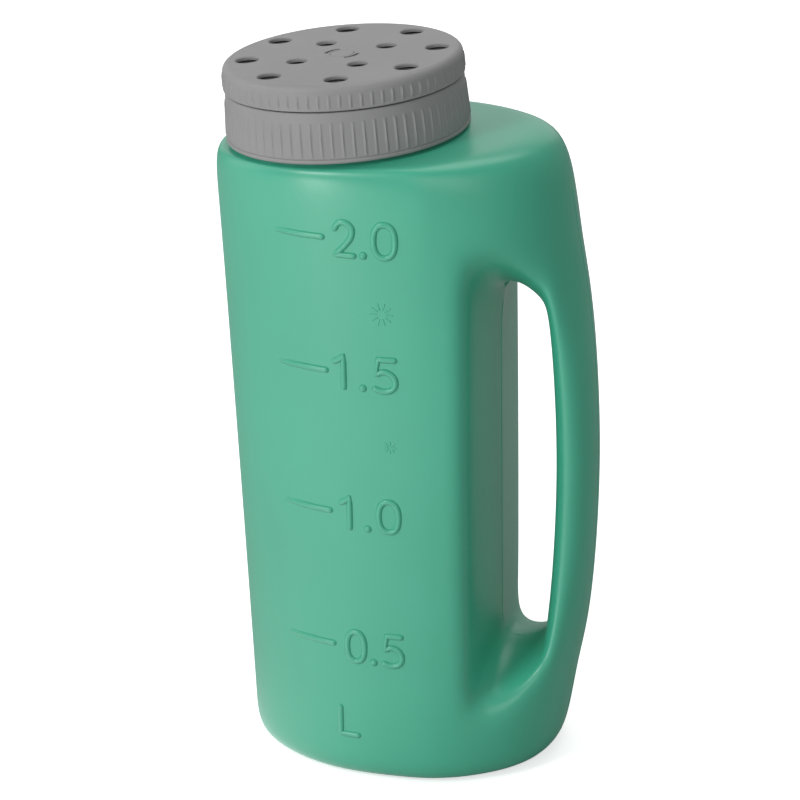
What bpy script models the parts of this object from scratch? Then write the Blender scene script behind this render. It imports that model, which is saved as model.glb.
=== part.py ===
"""A two-litre hand shaker bottle: blow-moulded bottle with a moulded-through handle, sealing ring, sifter cap, dial.

Units are metres, +Z is up and the bottle stands on z = 0. X runs from the back of the neck towards the handle.
The neck, the shoulder and the lid lean away from the handle by NECK_LEAN. Lid sizes are measured along the neck's
axis, downwards from the middle of the dial's top.
"""

import math

import bmesh
import bpy
from mathutils import Matrix, Vector

MM = 0.001

# Bottle: an oval prism whose right-hand edge bows out along the handle
OVERALL_HEIGHT = 288.8 * MM
SHOULDER_HEIGHT = 256.7 * MM
LEFT_EDGE_BASE = -41.5 * MM
LEFT_EDGE_TOP = -50.6 * MM
RIGHT_EDGE_WIDEST = 102.8 * MM
RIGHT_EDGE_BOW = 16.4 * MM
BOW_MIDDLE = 128.0 * MM
HALF_DEPTH_BASE = 50.7 * MM
HALF_DEPTH_TOP = 49.8 * MM
ROUNDNESS = 2.16
WALL = 1.5 * MM
BASE_CORNER = 15.0 * MM
SHOULDER_CORNER = 21.0 * MM
FLOOR_INSET = 26.0 * MM

# Hand opening between the chamber and the grip
POCKET_EDGE = 59.2 * MM
POCKET_MIDDLE = 72.0 * MM
CHAMBER_WALL = 62.6 * MM
POCKET_EDGE_SWELL = 0.6 * MM
GRIP_THICKNESS = 16.4 * MM
GRIP_HALF_DEPTH = 16.0 * MM
GRIP_FLARE = 20.0 * MM
GRIP_LEAD = 6.0 * MM
GRIP_MIDDLE = 128.0 * MM
GRIP_HALF_LENGTH = 92.0 * MM
OPENING_BOTTOM = 51.4 * MM
OPENING_TOP = 198.0 * MM
POCKET_BOTTOM = 31.0 * MM
POCKET_TOP = 224.0 * MM

# The grip's front half: how far in from the outer seam, and its share of the grip's half depth
GRIP_PROFILE = ((14.0 * MM, 0.86), (8.2 * MM, 1.06), (1.6 * MM, 0.7))
GRIP_SWELL = 0.7 * MM

# The hand opening's edge on the seam plane: shares of its height, and what moves its corners off a rectangle
SEAM_SHARES = (0.0, 0.08, 0.21, 0.52, 0.8, 0.93, 1.0)
SEAM_GRIP_SWELL = 0.5 * MM
SEAM_CHAMBER_FOOT = Vector((-0.3, 0.0, 0.2)) * MM
SEAM_CHAMBER_HEAD = Vector((2.0, 0.0, 0.0)) * MM
SEAM_TOP = Vector((0.5, 0.0, 0.8)) * MM
SEAM_GRIP_HEAD = Vector((-1.5, 0.0, -5.0)) * MM
SEAM_GRIP_FOOT = Vector((2.5, 0.0, 1.5)) * MM
SEAM_BOTTOM = Vector((1.0, 0.0, -1.0)) * MM
PART_WAY = (0.35, 0.27, 0.42)

# Neck and its thread
NECK_LEAN = math.radians(3.9)
NECK_RADIUS = 42.9 * MM
NECK_BORE = 41.3 * MM
NECK_RIM = 13.7 * MM
NECK_FOOT = 28.0 * MM
SHOULDER_DOWN = 31.4 * MM
SHOULDER_LEANS = (0.2, 0.6, 1.0)
NECK_FILLET = 1.8 * MM
NECK_SINK = 2.0 * MM
OVERLAP = 0.3 * MM
THREAD_PITCH = 5.0 * MM
THREAD_TURNS = 1.75
THREAD_START = 26.0 * MM
NECK_CREST = 44.0 * MM
CAP_CREST = 43.4 * MM
THREAD_HALF_FOOT = 1.0 * MM
THREAD_HALF_CREST = 0.5 * MM
THREAD_ROOT_SINK = 0.6 * MM
THREAD_STEPS = 36
THREAD_FADE = 4

# Lid: sifter cap, dial and sealing ring
PLATE = 2.0 * MM
RUNNING_GAP = 0.3 * MM
DIAL_RADIUS = 46.7 * MM
DIAL_SKIRT = 9.6 * MM
DIAL_INNER = 45.1 * MM
DIAL_EDGE = 2.8 * MM
CAP_TOP = 10.2 * MM
CAP_BOTTOM = 29.8 * MM
CAP_RADIUS_TOP = 46.3 * MM
CAP_RADIUS_BOTTOM = 47.55 * MM
CAP_INNER = 44.6 * MM
CAP_THREAD_TURNS = 1.25
CHAMFER = 1.0 * MM
BOSS_OUTER = 44.7 * MM
BOSS_INNER = 41.5 * MM
SEAL_FACE = 12.1 * MM
RING_THICKNESS = 1.0 * MM
RING_INNER = 41.3 * MM
RING_OUTER = 44.1 * MM
OUTER_RING = 36.7 * MM
INNER_RING = 18.3 * MM
OUTER_HOLE = 4.45 * MM
INNER_HOLE = 3.85 * MM
PLATE_INNER_HOLE = 3.0 * MM
HOLE_TURN = math.radians(13.2)
CENTRE_HOLE = 6.1 * MM
HOOK_INNER = 4.4 * MM
HOOK_STEM = 5.7 * MM
HOOK_BARB = 7.2 * MM
HOOK_DEPTH = 6.8 * MM
HOOK_HEAD = 2.0 * MM
HOOK_HALF_ANGLE = math.radians(30)
WINDOW_OUTER = 7.3 * MM
WINDOW_HALF_ANGLE = math.radians(34)
CUT_ABOVE = 1.0 * MM
CUT_BELOW = 7.0 * MM

ROUND_SEGMENTS = 48
HOLE_SEGMENTS = 14
SECTOR_STEPS = 6
SMOOTH_ANGLE = math.radians(35)

GREEN = (0.05, 0.382, 0.243)
GREY = (0.26, 0.26, 0.26)
BLACK = (0.03, 0.03, 0.03)

PARTS = bpy.context.scene.collection


def clear_scene():
    for obj in list(bpy.data.objects):
        bpy.data.objects.remove(obj, do_unlink=True)


def plastic(name, colour, roughness):
    material = bpy.data.materials.new(name)
    material.use_nodes = True
    shader = material.node_tree.nodes["Principled BSDF"]
    shader.inputs["Base Color"].default_value = (*colour, 1.0)
    shader.inputs["Roughness"].default_value = roughness
    shader.inputs["Metallic"].default_value = 0.0
    return material


def add_object(name, mesh_data, material=None, matrix=None):
    mesh = bpy.data.meshes.new(name)
    mesh_data.to_mesh(mesh)
    mesh_data.free()
    obj = bpy.data.objects.new(name, mesh)
    PARTS.objects.link(obj)
    if material:
        mesh.materials.append(material)
        mesh.shade_smooth()
        mesh.set_sharp_from_angle(angle=SMOOTH_ANGLE)
    if matrix:
        obj.matrix_world = matrix
    return obj


def neck_frame():
    lean = Matrix.Rotation(-NECK_LEAN, 4, "Y")
    return Matrix.Translation((0.0, 0.0, OVERALL_HEIGHT)) @ lean


def combine(obj, tool, operation):
    tool.hide_render = True
    tool.display_type = "WIRE"
    boolean = obj.modifiers.new(tool.name, "BOOLEAN")
    boolean.operation = operation
    boolean.solver = "EXACT"
    boolean.object = tool


# Bottle: a smoothed cage of rings around the oval, with the hand opening bridged through it


def blend(low, high, share):
    return low + (high - low) * share


def oval_at(z):
    """Middle, half length and half depth of the outline at a height."""
    rise = min(max(z / SHOULDER_HEIGHT, 0.0), 1.0)
    left = blend(LEFT_EDGE_BASE, LEFT_EDGE_TOP, rise)
    right = RIGHT_EDGE_WIDEST - RIGHT_EDGE_BOW * ((z - BOW_MIDDLE) / BOW_MIDDLE) ** 2
    return (left + right) / 2, (right - left) / 2, blend(HALF_DEPTH_BASE, HALF_DEPTH_TOP, rise)


def oval_point(z, x=None, angle=None, inset=0.0):
    """A point on the front of the oval, by its place along X or by an angle from the handle's side."""
    middle, length, depth = oval_at(z)
    length -= inset
    depth -= inset
    power = 2.0 / ROUNDNESS
    if x is None:
        cosine = math.cos(angle)
        along = math.copysign(abs(cosine) ** power, cosine)
        return middle + length * along, -depth * math.sin(angle) ** power
    reach = min(abs(x - middle) / length, 1.0)
    return x, -depth * (1.0 - reach**ROUNDNESS) ** (1.0 / ROUNDNESS)


FRONT_ANGLES = [math.radians(a) for a in (180, 160, 140, 118, 98)]
FRONT_PLACES = (38.0 * MM, 49.0 * MM, POCKET_EDGE, POCKET_MIDDLE)
GRIP_SHARES = (0.5, 0.78, 0.95)
NECK_ANGLES = [math.radians(a) for a in (180, 157, 134, 110, 84, 62, 50, 40, 28, 19, 12, 6, 0)]
COLUMNS = 24
EDGE_COLUMN, MIDDLE_COLUMN, GRIP_COLUMN = 7, 8, 9
POCKET_SPANS = (7, 8, 15, 16)
POCKET_ROWS = (52.0 * MM, 78.0 * MM, 130.0 * MM, 180.0 * MM, 205.0 * MM)
BOTTOM_RISE = (0.0, 13.0 * MM, 10.0 * MM, 7.0 * MM, 5.0 * MM)
TOP_RISE = (2.0 * MM, -11.0 * MM, -8.0 * MM, -5.0 * MM, -4.0 * MM)


def front_outline(z, inset=0.0):
    """Thirteen points from the seam at the back of the neck, round the front, to the seam on the handle."""
    points = [oval_point(z, angle=a, inset=inset) for a in FRONT_ANGLES]
    middle, length, _ = oval_at(z)
    shrink = (length - inset) / length
    right = middle + length - inset
    places = [middle + (x - middle) * shrink for x in FRONT_PLACES]
    places += [blend(places[-1], right, share) for share in GRIP_SHARES]
    points += [oval_point(z, x=x, inset=inset) for x in places]
    points.append((right, 0.0))
    return points


def mirrored(front):
    """A whole ring from its front half."""
    return front + [(x, -y, *rest) for x, y, *rest in reversed(front[1:-1])]


def swollen(outline):
    """Control points outside an outline by as much as smoothing pulls them in."""
    pushed = []
    for i, (x, y) in enumerate(outline):
        before, after = outline[i - 1], outline[(i + 1) % len(outline)]
        pushed.append((x + (2 * x - before[0] - after[0]) / 6, y + (2 * y - before[1] - after[1]) / 6))
    return pushed


def add_ring(cage, z, inset=0.0, lean=0.0, offsets=None):
    """A ring of the cage. Offsets raise the columns from the middle of the pocket to the handle's seam."""
    ring = []
    rise = [0.0] * MIDDLE_COLUMN + list(offsets or [0.0] * 5)
    rise += reversed(rise[1:-1])
    for (x, y), up in zip(swollen(mirrored(front_outline(z, inset))), rise):
        ring.append(cage.verts.new((x, y, z + up + lean * math.tan(NECK_LEAN) * x)))
    return ring


def grip_section(z):
    """The handle's front half at a height: inner edge, front, outer edge and outer seam."""
    middle, length, _ = oval_at(z)
    right = middle + length
    end = abs(z - GRIP_MIDDLE) / GRIP_HALF_LENGTH
    half_depth = GRIP_HALF_DEPTH + GRIP_FLARE * end**4
    points = []
    for across, deep in GRIP_PROFILE:
        x = right - across
        points.append((x, -min(half_depth * deep, -oval_point(z, x=x)[1])))
    points[0] = (points[0][0] + GRIP_LEAD * end**4, points[0][1])
    points.append((right + GRIP_SWELL, 0.0))
    return points


def add_pocket_row(cage, z):
    """A ring through the hand opening, with no column in the opening's middle."""
    body = swollen(mirrored(front_outline(z)))[: EDGE_COLUMN + 1]
    body[EDGE_COLUMN] = (POCKET_EDGE, oval_point(z, x=POCKET_EDGE)[1] - POCKET_EDGE_SWELL)
    front = body + [None] + grip_section(z)
    ring = [cage.verts.new((*spot, z)) if spot else None for spot in front]
    for spot in reversed(front[1:-1]):
        ring.append(cage.verts.new((spot[0], -spot[1], z)) if spot else None)
    return ring


def opening_loop(rows, side):
    """The hand opening's edge on the front (side 1) or the back (side -1), up the chamber and down the grip."""
    def pick(row, column):
        return row[column if side > 0 else COLUMNS - column]

    loop = [pick(row, EDGE_COLUMN) for row in rows]
    loop.append(pick(rows[-1], MIDDLE_COLUMN))
    loop += [pick(row, GRIP_COLUMN) for row in reversed(rows)]
    loop.append(pick(rows[0], MIDDLE_COLUMN))
    return loop


def seam_loop():
    """The hand opening's edge on the seam plane, in the order of opening_loop."""
    heights = [blend(OPENING_BOTTOM, OPENING_TOP, share) for share in SEAM_SHARES]
    chamber = [Vector((CHAMBER_WALL, 0.0, z)) for z in heights]
    chamber[0] += SEAM_CHAMBER_FOOT
    chamber[-1] += SEAM_CHAMBER_HEAD
    grip = []
    for z in reversed(heights):
        middle, length, _ = oval_at(z)
        grip.append(Vector((middle + length - GRIP_THICKNESS - SEAM_GRIP_SWELL, 0.0, z)))
    grip[0] += SEAM_GRIP_HEAD
    grip[-1] += SEAM_GRIP_FOOT
    top = Vector((POCKET_MIDDLE, 0.0, OPENING_TOP)) + SEAM_TOP
    bottom = Vector((POCKET_MIDDLE, 0.0, OPENING_BOTTOM)) + SEAM_BOTTOM
    return chamber + [top] + grip + [bottom]


def bridge(cage, low, high, skip=()):
    for i in range(len(low)):
        if i not in skip:
            after = (i + 1) % len(low)
            cage.faces.new((low[i], low[after], high[after], high[i]))


def add_opening(cage, rows):
    """Bridges the hand opening from front to back through a part-way loop on each side and the seam loop."""
    seam = [cage.verts.new(spot) for spot in seam_loop()]
    for side in (1, -1):
        edge = opening_loop(rows, side)
        inside = []
        for outer, inner in zip(edge, seam):
            spot = [blend(near, deep, share) for near, deep, share in zip(outer.co, inner.co, PART_WAY)]
            inside.append(cage.verts.new(spot))
        bridge(cage, edge, inside)
        bridge(cage, inside, seam)


def neck_circle(radius):
    angles = NECK_ANGLES + [-a for a in reversed(NECK_ANGLES[1:-1])]
    return [(radius * math.cos(a), -radius * math.sin(a)) for a in angles]


def add_shelf(cage, corner, frame):
    """A ring half way across the shoulder, on its leaning plane."""
    shelf = []
    for vertex, (x, y) in zip(corner, neck_circle(NECK_RADIUS)):
        foot = frame @ Vector((x, y, -SHOULDER_DOWN))
        shelf.append(cage.verts.new(vertex.co.lerp(foot, 0.5)))
    bridge(cage, corner, shelf)
    return shelf


def add_mouth(cage, top, frame):
    """Rings from the shoulder up into the foot of the neck."""
    last = top
    for radius, down in ((NECK_RADIUS + NECK_FILLET, SHOULDER_DOWN), (NECK_RADIUS - OVERLAP, NECK_FOOT)):
        ring = [cage.verts.new(frame @ Vector((x, y, -down))) for x, y in swollen(neck_circle(radius))]
        bridge(cage, last, ring)
        last = ring


def facing_out(mesh_data):
    bmesh.ops.recalc_face_normals(mesh_data, faces=mesh_data.faces[:])
    lowest = min(mesh_data.faces, key=lambda face: (face.calc_center_median().z, -face.calc_area()))
    if lowest.normal.z > 0:
        bmesh.ops.reverse_faces(mesh_data, faces=mesh_data.faces[:])
    return mesh_data


def bottle_cage():
    cage = bmesh.new()
    rings = [add_ring(cage, 0.0, inset=inset) for inset in (FLOOR_INSET, BASE_CORNER, 0.0)]
    rings.append(add_ring(cage, BASE_CORNER))
    middle = cage.verts.new((oval_at(0.0)[0], 0.0, 0.0))
    for i in range(COLUMNS):
        cage.faces.new((middle, rings[0][i], rings[0][(i + 1) % COLUMNS]))
    pocket = [add_ring(cage, POCKET_BOTTOM, offsets=BOTTOM_RISE)]
    pocket += [add_pocket_row(cage, z) for z in POCKET_ROWS]
    arch, corner, shoulder = SHOULDER_LEANS
    pocket.append(add_ring(cage, POCKET_TOP, lean=arch, offsets=TOP_RISE))
    above = [add_ring(cage, SHOULDER_HEIGHT - SHOULDER_CORNER, lean=corner)]
    above.append(add_ring(cage, SHOULDER_HEIGHT, lean=shoulder))
    for low, high in zip(rings, rings[1:] + pocket[:1]):
        bridge(cage, low, high)
    for low, high in zip(pocket, pocket[1:]):
        bridge(cage, low, high, skip=POCKET_SPANS)
    bridge(cage, pocket[-1], above[0])
    bridge(cage, above[0], above[1])
    add_opening(cage, pocket)
    frame = neck_frame()
    shelf = add_shelf(cage, above[1], frame)
    add_mouth(cage, shelf, frame)
    return facing_out(cage)


# Turned and threaded shapes, about the neck's axis


def turned(profile, closed=True):
    """A profile of (radius, distance below the dial's top) spun about the axis."""
    shape = bmesh.new()
    points = [shape.verts.new((radius, 0.0, -down)) for radius, down in profile]
    pairs = list(zip(points, points[1:]))
    if closed:
        pairs.append((points[-1], points[0]))
    edges = [shape.edges.new(pair) for pair in pairs]
    bmesh.ops.spin(
        shape,
        geom=points + edges,
        cent=(0.0, 0.0, 0.0),
        axis=(0.0, 0.0, 1.0),
        angle=2 * math.pi,
        steps=ROUND_SEGMENTS,
        use_merge=True,
    )
    bmesh.ops.remove_doubles(shape, verts=shape.verts[:], dist=0.001 * MM)
    bmesh.ops.recalc_face_normals(shape, faces=shape.faces[:])
    return shape


def sector(shape, profile, middle, half_angle):
    """Adds part of a turn of a profile, centred on an angle, with flat ends."""
    turn = Matrix.Rotation(middle - half_angle, 3, "Z")
    points = [shape.verts.new(turn @ Vector((radius, 0.0, -down))) for radius, down in profile]
    face = shape.faces.new(points)
    bmesh.ops.spin(
        shape,
        geom=[face],
        cent=(0.0, 0.0, 0.0),
        axis=(0.0, 0.0, 1.0),
        angle=2 * half_angle,
        steps=SECTOR_STEPS,
    )


def thread(root, crest, low, turns):
    """A helical ridge from its root radius to its crest, fading into the root at both ends."""
    ridge = bmesh.new()
    steps = round(turns * THREAD_STEPS)
    last = None
    for step in range(steps + 1):
        height = -low + THREAD_PITCH * turns * step / steps
        share = min(step, steps - step, THREAD_FADE) / THREAD_FADE
        tip = blend(root, crest, max(share, 0.05))
        section = [(root, -THREAD_HALF_FOOT), (tip, -THREAD_HALF_CREST)]
        section += [(tip, THREAD_HALF_CREST), (root, THREAD_HALF_FOOT)]
        turn = Matrix.Rotation(2 * math.pi * turns * step / steps, 3, "Z")
        ring = [ridge.verts.new(turn @ Vector((radius, 0.0, height + up))) for radius, up in section]
        if last:
            bridge(ridge, last, ring)
        else:
            ridge.faces.new(ring)
        last = ring
    ridge.faces.new(last)
    bmesh.ops.recalc_face_normals(ridge, faces=ridge.faces[:])
    return ridge


def add_hole(shape, radius, reach, angle):
    """A cutter for a hole that goes through the cap's and the dial's plates."""
    place = Matrix.Rotation(angle, 4, "Z") @ Matrix.Translation((reach, 0.0, (CUT_ABOVE - CUT_BELOW) / 2))
    bmesh.ops.create_cone(
        shape,
        cap_ends=True,
        segments=HOLE_SEGMENTS,
        radius1=radius,
        radius2=radius,
        depth=CUT_ABOVE + CUT_BELOW,
        matrix=place,
    )


def sifter_holes(inner_radius, inner_turn):
    """Eight outer and four inner holes, as one cutter for a plate."""
    cutter = bmesh.new()
    for i in range(8):
        add_hole(cutter, OUTER_HOLE, OUTER_RING, HOLE_TURN + i * math.pi / 4)
    for i in range(4):
        angle = HOLE_TURN + math.pi / 8 + inner_turn + i * math.pi / 2
        add_hole(cutter, inner_radius, INNER_RING, angle)
    return cutter


# The pieces


def make_bottle(material):
    bottle = add_object("bottle", bottle_cage(), material)
    smooth = bottle.modifiers.new("Smooth", "SUBSURF")
    smooth.levels = 1
    smooth.render_levels = 1
    shell = bottle.modifiers.new("Wall", "SOLIDIFY")
    shell.thickness = WALL
    shell.offset = -1.0
    shell.use_even_offset = True
    foot = NECK_FOOT + NECK_SINK
    neck_wall = [(NECK_BORE, NECK_RIM), (NECK_BORE, foot), (NECK_RADIUS, foot), (NECK_RADIUS, NECK_RIM)]
    frame = neck_frame()
    combine(bottle, add_object("bottle_neck_form", turned(neck_wall), matrix=frame), "UNION")
    ridge = thread(NECK_RADIUS - THREAD_ROOT_SINK, NECK_CREST, THREAD_START, THREAD_TURNS)
    combine(bottle, add_object("bottle_thread_form", ridge, matrix=frame), "UNION")


def make_sealing_ring(material):
    top = SEAL_FACE + RUNNING_GAP
    profile = [(RING_OUTER, top), (RING_OUTER, top + RING_THICKNESS)]
    profile += [(RING_INNER, top + RING_THICKNESS), (RING_INNER, top)]
    add_object("sealing_ring", turned(profile), material, neck_frame())


def make_screw_cap(material):
    plate_top = PLATE + RUNNING_GAP
    profile = [
        (0.0, plate_top),
        (BOSS_OUTER - CHAMFER, plate_top),
        (BOSS_OUTER, plate_top + CHAMFER),
        (BOSS_OUTER, CAP_TOP),
        (CAP_RADIUS_TOP - CHAMFER / 2, CAP_TOP),
        (CAP_RADIUS_TOP, CAP_TOP + CHAMFER / 2),
        (CAP_RADIUS_BOTTOM, CAP_BOTTOM),
        (CAP_INNER + CHAMFER / 2, CAP_BOTTOM),
        (CAP_INNER, CAP_BOTTOM - CHAMFER),
        (CAP_INNER, SEAL_FACE),
        (BOSS_INNER, SEAL_FACE),
        (BOSS_INNER, plate_top + PLATE),
        (0.0, plate_top + PLATE),
    ]
    frame = neck_frame()
    cap = add_object("screw_cap", turned(profile, closed=False), material, frame)
    cutter = sifter_holes(PLATE_INNER_HOLE, math.pi / 4)
    add_hole(cutter, CENTRE_HOLE, 0.0, 0.0)
    combine(cap, add_object("screw_cap_holes", cutter, matrix=frame), "DIFFERENCE")
    low = THREAD_START - THREAD_PITCH / 2
    ridge = thread(CAP_INNER + THREAD_ROOT_SINK, CAP_CREST, low, CAP_THREAD_TURNS)
    combine(cap, add_object("screw_cap_thread_form", ridge, matrix=frame), "UNION")


def make_dial(material):
    profile = [
        (0.0, 0.0),
        (DIAL_RADIUS - DIAL_EDGE, 0.0),
        (DIAL_RADIUS - DIAL_EDGE * 0.45, DIAL_EDGE * 0.2),
        (DIAL_RADIUS - DIAL_EDGE * 0.15, DIAL_EDGE),
        (DIAL_RADIUS, DIAL_SKIRT),
        (DIAL_INNER, DIAL_SKIRT),
        (DIAL_INNER, PLATE + CHAMFER),
        (DIAL_INNER - CHAMFER, PLATE),
        (0.0, PLATE),
    ]
    frame = neck_frame()
    dial = add_object("shaker_dial", turned(profile, closed=False), material, frame)
    hook = [(HOOK_INNER, PLATE / 2), (HOOK_STEM, PLATE / 2)]
    hook += [(HOOK_STEM, HOOK_DEPTH - HOOK_HEAD), (HOOK_BARB, HOOK_DEPTH - HOOK_HEAD)]
    hook += [(HOOK_BARB, HOOK_DEPTH - HOOK_HEAD / 2), (HOOK_STEM, HOOK_DEPTH), (HOOK_INNER, HOOK_DEPTH)]
    window = [(HOOK_STEM, -CUT_ABOVE), (WINDOW_OUTER, -CUT_ABOVE)]
    window += [(WINDOW_OUTER, PLATE + CUT_ABOVE), (HOOK_STEM, PLATE + CUT_ABOVE)]
    hooks = bmesh.new()
    cutter = sifter_holes(INNER_HOLE, 0.0)
    first = HOLE_TURN + math.pi / 8
    for angle in (first, first + math.pi):
        sector(hooks, hook, angle, HOOK_HALF_ANGLE)
        sector(cutter, window, angle, WINDOW_HALF_ANGLE)
    bmesh.ops.recalc_face_normals(hooks, faces=hooks.faces[:])
    bmesh.ops.recalc_face_normals(cutter, faces=cutter.faces[:])
    combine(dial, add_object("shaker_dial_hooks", hooks, matrix=frame), "UNION")
    combine(dial, add_object("shaker_dial_holes", cutter, matrix=frame), "DIFFERENCE")


def main():
    clear_scene()
    make_bottle(plastic("green_polyethylene", GREEN, 0.4))
    make_sealing_ring(plastic("black_rubber", BLACK, 0.6))
    grey = plastic("grey_polypropylene", GREY, 0.45)
    make_screw_cap(grey)
    make_dial(grey)


main()
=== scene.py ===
import math

import bmesh
import bpy
from bpy.props import FloatProperty, FloatVectorProperty, IntProperty, PointerProperty
from mathutils import Matrix, Vector
from mathutils.bvhtree import BVHTree


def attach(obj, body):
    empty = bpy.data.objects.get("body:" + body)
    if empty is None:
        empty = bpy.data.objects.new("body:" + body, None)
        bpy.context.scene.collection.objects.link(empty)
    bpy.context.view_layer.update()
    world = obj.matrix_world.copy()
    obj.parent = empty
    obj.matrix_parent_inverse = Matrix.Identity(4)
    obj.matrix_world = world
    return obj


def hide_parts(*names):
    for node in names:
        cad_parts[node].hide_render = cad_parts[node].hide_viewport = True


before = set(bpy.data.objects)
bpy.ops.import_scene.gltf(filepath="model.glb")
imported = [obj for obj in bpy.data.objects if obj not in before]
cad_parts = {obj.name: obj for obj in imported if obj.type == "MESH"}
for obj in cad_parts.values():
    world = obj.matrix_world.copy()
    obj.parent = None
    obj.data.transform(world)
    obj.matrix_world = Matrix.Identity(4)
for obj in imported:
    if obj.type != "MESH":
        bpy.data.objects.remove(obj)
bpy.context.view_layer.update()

bl_info = {
    "name": "Shaker Bottle",
    "version": (1, 0, 0),
    "blender": (4, 5, 0),
    "location": "3D View > Sidebar > Shaker",
    "description": "Builds a two-litre shaker bottle with a sifter cap and a rotating dial",
    "category": "Add Mesh",
}

MM = 0.001
ROUND_SEGMENTS = 144
RIB_SPAN = 8
THREAD_STEPS = 48
FADE_STEPS = 5

# The cage of the bottle: its columns, and where its rings and its seam have their spots
COLUMNS = 24
EDGE_COLUMN, MIDDLE_COLUMN, GRIP_COLUMN = 7, 8, 9
FRONT_ANGLES = [math.radians(a) for a in (180, 160, 140, 118, 98)]
NECK_ANGLES = [math.radians(a) for a in (180, 157, 134, 110, 84, 62, 50, 40, 28, 19, 12, 6, 0)]
FRONT_PLACES = (38.0 * MM, 49.0 * MM)
POCKET_DEPTH = 40.0 * MM
GRIP_SHARES = (0.5, 0.78, 0.95)
SEAM_SHARES = (0.0, 0.08, 0.21, 0.52, 0.8, 0.93, 1.0)
PART_WAY = (0.35, 0.27, 0.42)
SEAM_CREASE = 0.9
POCKET_ROWS = [z * MM for z in (52, 78, 130, 180, 205)]
BOTTOM_RISE = [z * MM for z in (0, 13, 10, 7, 5)]
TOP_RISE = [z * MM for z in (2, -11, -8, -5, -4)]


def length(name, description, default):
    """A size, whose default is given in millimetres."""
    metres = default * MM
    return FloatProperty(name=name, description=description, default=metres, unit="LENGTH", precision=5)


def angle(name, description, default):
    """An angle, whose default is given in degrees."""
    radians = math.radians(default)
    return FloatProperty(name=name, description=description, default=radians, subtype="ANGLE")


def colour(name, description, default):
    return FloatVectorProperty(name=name, description=description, default=default, subtype="COLOR", size=3)


# Sizes


class BottleSizes(bpy.types.PropertyGroup):
    height: length("Height", "Middle of the dial's top above the base", 288.8)
    shoulder: length("Shoulder", "Height of the shoulder under the neck", 256.7)
    left_base: length("Left edge at base", "X of the back edge at the base", -41.5)
    left_top: length("Left edge at top", "X of the back edge at the shoulder", -50.6)
    right_widest: length("Handle edge", "X of the handle's outer edge where it is widest", 102.8)
    right_bow: length("Handle bow", "How far the handle's edge draws in at the base", 16.4)
    bow_middle: length("Bow middle", "Height at which the handle's edge is widest", 128.0)
    depth_base: length("Half depth at base", "Half of the bottle's depth at the base", 50.7)
    depth_top: length("Half depth at top", "Half of the bottle's depth at the shoulder", 49.8)
    roundness: FloatProperty(
        name="Roundness",
        description="Power of the oval, 2 for an ellipse",
        default=2.16,
    )
    base_corner: length("Base corner", "Size of the rounding between wall and base", 15.0)
    shoulder_corner: length("Shoulder corner", "Size of the rounding between wall and shoulder", 21.0)
    wall: length("Wall", "Thickness of the blown wall", 1.5)
    pocket_edge: length("Pocket edge", "X where the front turns into the hand opening", 59.2)
    pocket_middle: length("Pocket middle", "X of the middle of the hand opening", 72.0)
    pocket_bottom: length("Pocket bottom", "Height of the scoop's lower edge on the front", 31.0)
    pocket_top: length("Pocket top", "Height of the arch's soft upper edge on the front", 224.0)
    chamber_wall: length("Chamber wall", "X of the chamber's wall facing the handle", 62.6)
    opening_bottom: length("Opening bottom", "Lowest point that can be seen through", 51.4)
    opening_top: length("Opening top", "Highest point that can be seen through", 198.0)
    grip_thickness: length("Grip thickness", "Thickness of the handle along X", 16.4)
    grip_depth: length("Grip half depth", "Half of the handle's depth along Y", 16.0)
    grip_flare: length("Grip flare", "How much deeper the handle gets at its ends", 20.0)
    grip_lead: length("Grip lead", "How far the inner edge leans out at the handle's ends", 6.0)
    grip_half: length("Grip half length", "Half of the handle's length", 92.0)


class LidSizes(bpy.types.PropertyGroup):
    lean: angle("Lean", "How far the neck leans away from the handle", 3.9)
    neck_radius: length("Neck radius", "Outer radius of the neck", 42.9)
    neck_bore: length("Neck bore", "Inner radius of the neck", 41.3)
    neck_rim: length("Neck rim", "Neck's rim below the dial's top", 13.7)
    neck_foot: length("Neck foot", "Where the neck leaves the shoulder, below the dial's top", 28.0)
    shoulder_down: length("Shoulder plane", "Shoulder below the dial's top", 31.4)
    pitch: length("Thread pitch", "Rise of the thread in one turn", 5.0)
    hole_turn: angle("Hole turn", "Direction of the first outer hole", 13.2)
    outer_ring: length("Outer hole circle", "Radius of the circle of the eight outer holes", 36.7)
    inner_ring: length("Inner hole circle", "Radius of the circle of the four inner holes", 18.3)
    outer_hole: length("Outer hole", "Radius of an outer hole", 4.45)
    dial_hole: length("Dial's inner hole", "Radius of an inner hole in the dial", 3.85)
    plate_hole: length("Plate's inner hole", "Radius of an inner hole in the sifter plate", 3.0)
    rib_height: length("Rib height", "How far a grip rib stands out", 0.4)
    ribs: IntProperty(name="Ribs", description="Grip ribs round the cap and the dial", default=72)


class Colours(bpy.types.PropertyGroup):
    green: colour("Bottle green", "Colour of the bottle's polyethylene", (0.05, 0.382, 0.243))
    grey: colour("Lid grey", "Colour of the cap and the dial", (0.262, 0.262, 0.262))
    rubber: colour("Ring black", "Colour of the sealing ring", (0.02, 0.02, 0.02))


def bottle_sizes():
    return bpy.context.scene.shaker_bottle


def lid_sizes():
    return bpy.context.scene.shaker_lid


def palette():
    return bpy.context.scene.shaker_colours


# Modelling helpers


def blend(low, high, share):
    return low + (high - low) * share


def deselect():
    if bpy.context.mode != "OBJECT":
        bpy.ops.object.mode_set(mode="OBJECT")
    bpy.ops.object.select_all(action="DESELECT")


def activate(obj):
    deselect()
    obj.select_set(True)
    bpy.context.view_layer.objects.active = obj


def start_edit(kind="EDGE"):
    bpy.ops.object.mode_set(mode="EDIT")
    bpy.ops.mesh.select_mode(type=kind)


def end_edit():
    bpy.ops.object.mode_set(mode="OBJECT")


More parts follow.
